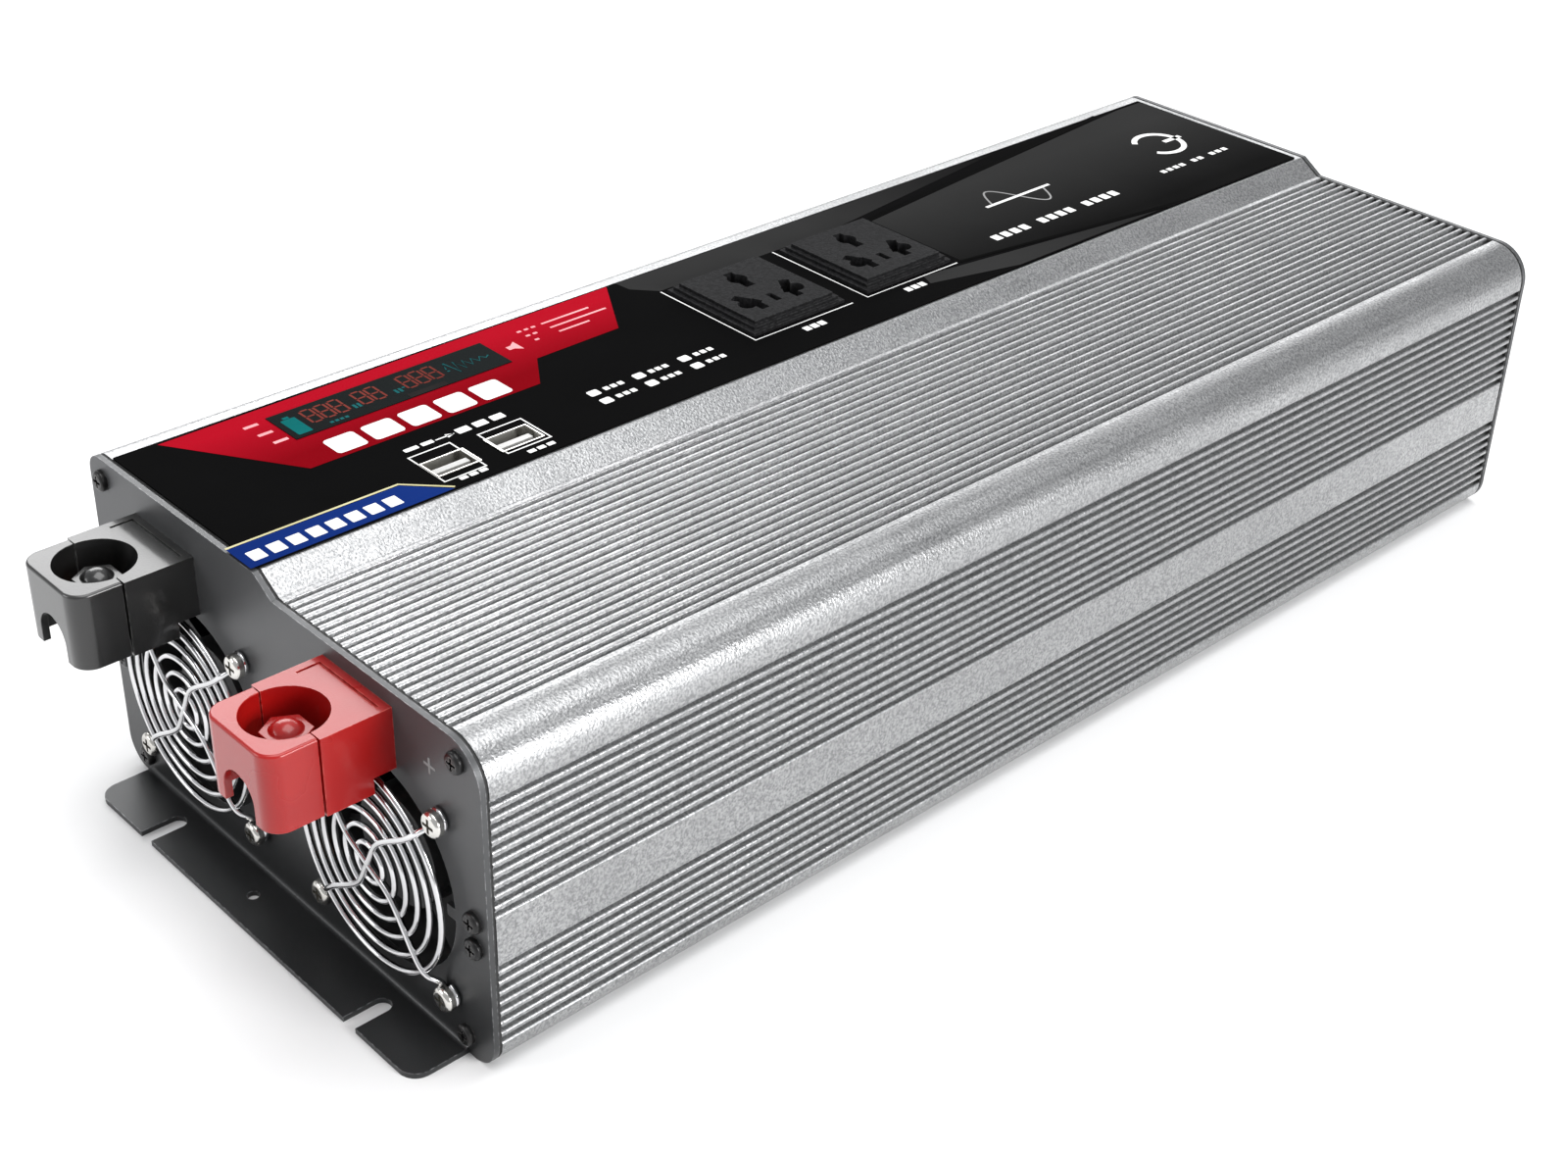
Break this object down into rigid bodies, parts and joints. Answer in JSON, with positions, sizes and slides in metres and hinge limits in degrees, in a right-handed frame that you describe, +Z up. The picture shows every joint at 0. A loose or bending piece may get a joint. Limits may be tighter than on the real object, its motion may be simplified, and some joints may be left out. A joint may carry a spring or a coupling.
{
  "type": "power inverter",
  "caption": "Battery power inverter in a ribbed two-part aluminium housing, with twin fans, two battery terminals, mains sockets, charging ports and a display window.",
  "frame": {"origin": "centre of the underside, midway between the four mounting slots", "axes": "+Z up from the underside, +Y along the housing towards the switch end, +X across it towards the ribbed shoulder"},
  "size_m": [0.162, 0.4475, 0.0977],
  "materials": {
    "anodised": "bead-blasted clear anodised",
    "plate_paint": "satin dark grey",
    "seal": "matt",
    "black_steel": "black oxide",
    "label": "printed satin film",
    "window": "smoked clear",
    "board": "solder mask",
    "socket_plastic": "fine texture",
    "brass": "bright",
    "bright_steel": "nickel plated",
    "light_plastic": "plain",
    "fan_plastic": "moulded",
    "chromed_wire": "bright",
    "black_cover": "semi-gloss moulded",
    "red_cover": "semi-gloss moulded",
    "copper": "bare copper",
    "heatsink": "mill finish",
    "device_black": "epoxy moulding",
    "ferrite": "sintered",
    "winding_tape": "polyester tape",
    "can_sleeve": "shrink sleeve",
    "fuse_plastic": "translucent",
    "switch_red": "moulded",
    "lead_red": "insulated wire",
    "lead_black": "insulated wire"
  },
  "bodies": {
    "inverter": {"ac_contacts_1": "brass", "ac_contacts_2": "brass", "ac_socket_1": "socket_plastic", "ac_socket_2": "socket_plastic", "board_screws": "bright_steel", "board_standoffs": "bright_steel", "bulk_capacitors": "can_sleeve", "control_board": "board", "display_board": "board", "display_window": "window", "earth_nut": "bright_steel", "earth_stud": "brass", "fan_frame_1": "fan_plastic", "fan_frame_2": "fan_plastic", "fan_guard_1": "chromed_wire", "fan_guard_2": "chromed_wire", "fan_leads": "lead_red", "fan_screws": "bright_steel", "front_end_plate": "plate_paint", "front_gasket": "seal", "front_plate_screws": "black_steel", "fuses": "fuse_plastic", "input_capacitors": "can_sleeve", "insulating_sheet": "light_plastic", "label_panel": "label", "left_heatsink": "heatsink", "left_transistors": "device_black", "lower_housing": "anodised", "main_board": "board", "negative_busbar": "copper", "negative_stud": "brass", "negative_terminal_base": "black_cover", "output_inductor": "copper", "positive_busbar": "copper", "positive_stud": "brass", "positive_terminal_base": "red_cover", "rear_end_plate": "plate_paint", "rear_gasket": "seal", "rear_plate_screws": "black_steel", "remote_jack": "fan_plastic", "right_heatsink": "heatsink", "right_transistors": "device_black", "socket_leads": "lead_black", "switch_body": "fan_plastic", "transformer_cores": "ferrite", "transformer_windings": "winding_tape", "upper_housing": "anodised", "usb_board": "board", "usb_shell_1": "bright_steel", "usb_shell_2": "bright_steel", "usb_tongues": "light_plastic"},
    "fan_1_rotor": {"fan_rotor_1": "fan_plastic"},
    "fan_2_rotor": {"fan_rotor_2": "fan_plastic"},
    "negative_cap": {"negative_terminal_cap": "black_cover"},
    "positive_cap": {"positive_terminal_cap": "red_cover"},
    "negative_washer": {"negative_washer": "bright_steel"},
    "positive_washer": {"positive_washer": "bright_steel"},
    "negative_nut": {"negative_nut": "black_cover"},
    "positive_nut": {"positive_nut": "red_cover"},
    "rocker": {"switch_rocker": "switch_red"}
  },
  "joints": [
    {"name": "fan_1_spin", "type": "hinge", "parent": "inverter", "child": "fan_1_rotor", "pos_m": [-0.039, -0.186, 0.0395], "axis": [0, -1, 0], "continuous": true},
    {"name": "fan_2_spin", "type": "hinge", "parent": "inverter", "child": "fan_2_rotor", "pos_m": [0.041, -0.186, 0.0395], "axis": [0, -1, 0], "continuous": true},
    {"name": "negative_cap_slide", "type": "slide", "parent": "inverter", "child": "negative_cap", "axis": [0, -1, 0], "range_m": [0, 0.018]},
    {"name": "negative_washer_lift", "type": "slide", "parent": "inverter", "child": "negative_washer", "axis": [0, 0, 1], "range_m": [0, 0.003]},
    {"name": "negative_nut_turn", "type": "hinge", "parent": "negative_washer", "child": "negative_nut", "pos_m": [-0.046, -0.2185, 0.0734], "axis": [0, 0, 1], "range_deg": [0, 1080]},
    {"name": "positive_cap_slide", "type": "slide", "parent": "inverter", "child": "positive_cap", "axis": [0, -1, 0], "range_m": [0, 0.018]},
    {"name": "positive_washer_lift", "type": "slide", "parent": "inverter", "child": "positive_washer", "axis": [0, 0, 1], "range_m": [0, 0.003]},
    {"name": "positive_nut_turn", "type": "hinge", "parent": "positive_washer", "child": "positive_nut", "pos_m": [0.036, -0.2185, 0.0734], "axis": [0, 0, 1], "range_deg": [0, 1080]},
    {"name": "power_rocker", "type": "hinge", "parent": "inverter", "child": "rocker", "pos_m": [0.046, 0.195, 0.064], "axis": [0, 0, 1], "range_deg": [0, 18]}
  ],
  "couplings": [
    {"joint": "negative_nut_turn", "follows": "negative_washer_lift", "rad_per_m": 6283.2},
    {"joint": "positive_nut_turn", "follows": "positive_washer_lift", "rad_per_m": 6283.2}
  ]
}
